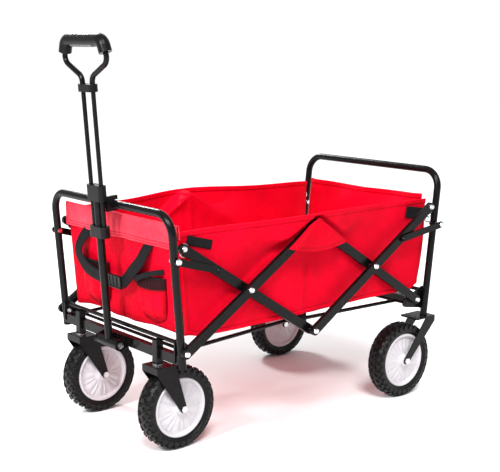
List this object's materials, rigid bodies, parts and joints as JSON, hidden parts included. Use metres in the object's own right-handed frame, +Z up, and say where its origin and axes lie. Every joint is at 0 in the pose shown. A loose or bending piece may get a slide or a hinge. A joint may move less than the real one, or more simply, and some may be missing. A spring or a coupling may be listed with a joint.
{
  "type": "folding camp wagon",
  "caption": "Folding four-wheel camp wagon: scissor side frames, fabric basket, swivel front casters and a telescoping pull handle.",
  "frame": {"origin": "on the floor, under the middle of the overall length and width, with the wagon open and its handle up and drawn out", "axes": "+X from the pulling handle to the back, +Y to the side away from the left wheels, +Z up"},
  "size_m": [0.9365, 0.539, 0.9164],
  "materials": {
    "black_coat": "satin powder coat",
    "zinc": "bright zinc plate",
    "red_cloth": "woven polyester",
    "black_webbing": "woven nylon",
    "black_plastic": "fine texture",
    "grey_grip": "knurled",
    "hub_white": "satin moulded",
    "tyre": "moulded tread"
  },
  "bodies": {
    "front_frame": {"front_frame_tube": "black_coat", "front_lower_rail": "black_coat", "front_upper_rail": "black_coat", "caster_sleeves": "black_coat", "front_corner_plates": "black_coat", "handle_bracket": "black_coat", "handle_pivot_bolt": "zinc", "front_post_bolts": "zinc", "basket_floor": "red_cloth", "basket_side_left": "red_cloth", "basket_side_right": "red_cloth", "basket_front_panel": "red_cloth", "pocket_left": "red_cloth", "pocket_right": "red_cloth", "pocket_straps": "black_webbing", "strap_buckle": "black_plastic", "side_flaps": "red_cloth"},
    "handle_lower": {"handle_tube": "black_coat", "handle_collar": "black_plastic", "handle_pivot_sleeve": "black_coat"},
    "handle_upper": {"slide_rods": "black_coat", "handle_slider": "black_plastic", "handle_top_clamp": "black_plastic", "handle_loop": "black_coat", "handle_grip": "black_plastic", "grip_insert": "grey_grip"},
    "caster_left": {"caster_fork_left": "black_coat", "caster_kingpin_left": "zinc", "caster_axle_left": "zinc"},
    "caster_right": {"caster_fork_right": "black_coat", "caster_kingpin_right": "zinc", "caster_axle_right": "zinc"},
    "wheel_front_left": {"tyre_front_left": "tyre", "wheel_front_left": "hub_white"},
    "wheel_front_right": {"tyre_front_right": "tyre", "wheel_front_right": "hub_white"},
    "outer_front_bars": {"front_outer_bars": "black_coat", "front_outer_rivets": "zinc"},
    "inner_front_bars": {"front_inner_bars": "black_coat", "front_inner_rivets": "zinc"},
    "inner_rear_bars": {"rear_inner_bars": "black_coat"},
    "outer_rear_bars": {"rear_outer_bars": "black_coat", "rear_outer_rivets": "zinc"},
    "rear_frame": {"rear_frame_tube": "black_coat", "rear_lower_rail": "black_coat", "rear_upper_rail": "black_coat", "rear_corner_plates": "black_coat", "rear_fork_left": "black_coat", "rear_fork_right": "black_coat", "rear_axles": "zinc", "rear_post_bolts": "zinc", "basket_rear_panel": "red_cloth"},
    "front_link": {"front_links": "black_coat"},
    "rear_link": {"rear_links": "black_coat"},
    "front_floor": {"front_floor_frame": "black_coat"},
    "rear_floor": {"rear_floor_frame": "black_coat"},
    "wheel_rear_left": {"tyre_rear_left": "tyre", "wheel_rear_left": "hub_white"},
    "wheel_rear_right": {"tyre_rear_right": "tyre", "wheel_rear_right": "hub_white"}
  },
  "joints": [
    {"name": "fold", "type": "hinge", "parent": "front_frame", "child": "outer_front_bars", "pos_m": [-0.37217, 0, 0.245], "axis": [0, -1, 0], "range_deg": [0, 44.5], "deforming": ["basket_floor", "basket_side_left", "basket_side_right", "side_flaps"]},
    {"name": "front_cross", "type": "hinge", "parent": "outer_front_bars", "child": "inner_front_bars", "pos_m": [-0.19337, 0, 0.35891], "axis": [0, -1, 0], "range_deg": [-90, 0]},
    {"name": "top_joint", "type": "hinge", "parent": "outer_front_bars", "child": "inner_rear_bars", "pos_m": [0.00736, 0, 0.48678], "axis": [0, -1, 0], "range_deg": [-90, 0]},
    {"name": "rear_cross", "type": "hinge", "parent": "inner_rear_bars", "child": "outer_rear_bars", "pos_m": [0.20808, 0, 0.35891], "axis": [0, -1, 0], "range_deg": [0, 90]},
    {"name": "rear_pivot", "type": "hinge", "parent": "inner_rear_bars", "child": "rear_frame", "pos_m": [0.38688, 0, 0.245], "axis": [0, -1, 0], "range_deg": [0, 45.5]},
    {"name": "front_link_pivot", "type": "hinge", "parent": "front_frame", "child": "front_link", "pos_m": [-0.38975, 0, 0.44597], "axis": [0, -1, 0], "range_deg": [0, 85.48]},
    {"name": "rear_link_pivot", "type": "hinge", "parent": "rear_frame", "child": "rear_link", "pos_m": [0.44392, 0, 0.43839], "axis": [0, -1, 0], "range_deg": [-65.5, 0]},
    {"name": "front_floor_hinge", "type": "hinge", "parent": "front_frame", "child": "front_floor", "pos_m": [-0.34417, 0, 0.238], "axis": [0, -1, 0], "range_deg": [0, 76.06]},
    {"name": "rear_floor_hinge", "type": "hinge", "parent": "rear_frame", "child": "rear_floor", "pos_m": [0.35888, 0, 0.238], "axis": [0, -1, 0], "range_deg": [-76.06, 0]},
    {"name": "handle_tilt", "type": "hinge", "parent": "front_frame", "child": "handle_lower", "pos_m": [-0.40017, 0, 0.221], "axis": [0, -1, 0], "range_deg": [0, 90]},
    {"name": "handle_slide", "type": "slide", "parent": "handle_lower", "child": "handle_upper", "axis": [-0.0785, 0, 0.9969], "range_m": [-0.2, 0]},
    {"name": "caster_swivel_left", "type": "hinge", "parent": "front_frame", "child": "caster_left", "pos_m": [-0.37817, -0.158, 0.2], "axis": [0, 0, 1], "continuous": true},
    {"name": "front_wheel_left", "type": "hinge", "parent": "caster_left", "child": "wheel_front_left", "pos_m": [-0.32817, -0.158, 0.095], "axis": [0, 1, 0], "continuous": true},
    {"name": "rear_wheel_left", "type": "hinge", "parent": "rear_frame", "child": "wheel_rear_left", "pos_m": [0.33488, -0.228, 0.095], "axis": [0, 1, 0], "continuous": true},
    {"name": "caster_swivel_right", "type": "hinge", "parent": "front_frame", "child": "caster_right", "pos_m": [-0.37817, 0.158, 0.2], "axis": [0, 0, 1], "continuous": true},
    {"name": "front_wheel_right", "type": "hinge", "parent": "caster_right", "child": "wheel_front_right", "pos_m": [-0.32817, 0.158, 0.095], "axis": [0, 1, 0], "continuous": true},
    {"name": "rear_wheel_right", "type": "hinge", "parent": "rear_frame", "child": "wheel_rear_right", "pos_m": [0.33488, 0.228, 0.095], "axis": [0, 1, 0], "continuous": true}
  ],
  "couplings": [
    {"joint": "front_cross", "follows": "fold", "ratio": -2},
    {"joint": "top_joint", "follows": "fold", "ratio": -2},
    {"joint": "rear_cross", "follows": "fold", "ratio": 2},
    {"joint": "rear_pivot", "follows": "fold", "ratio": 1},
    {"joint": "front_link_pivot", "follows": "fold", "ratio": 1.8985},
    {"joint": "rear_link_pivot", "follows": "fold", "ratio": -1.4495},
    {"joint": "front_floor_hinge", "follows": "fold", "ratio": 1.6868},
    {"joint": "rear_floor_hinge", "follows": "fold", "ratio": -1.6868}
  ]
}
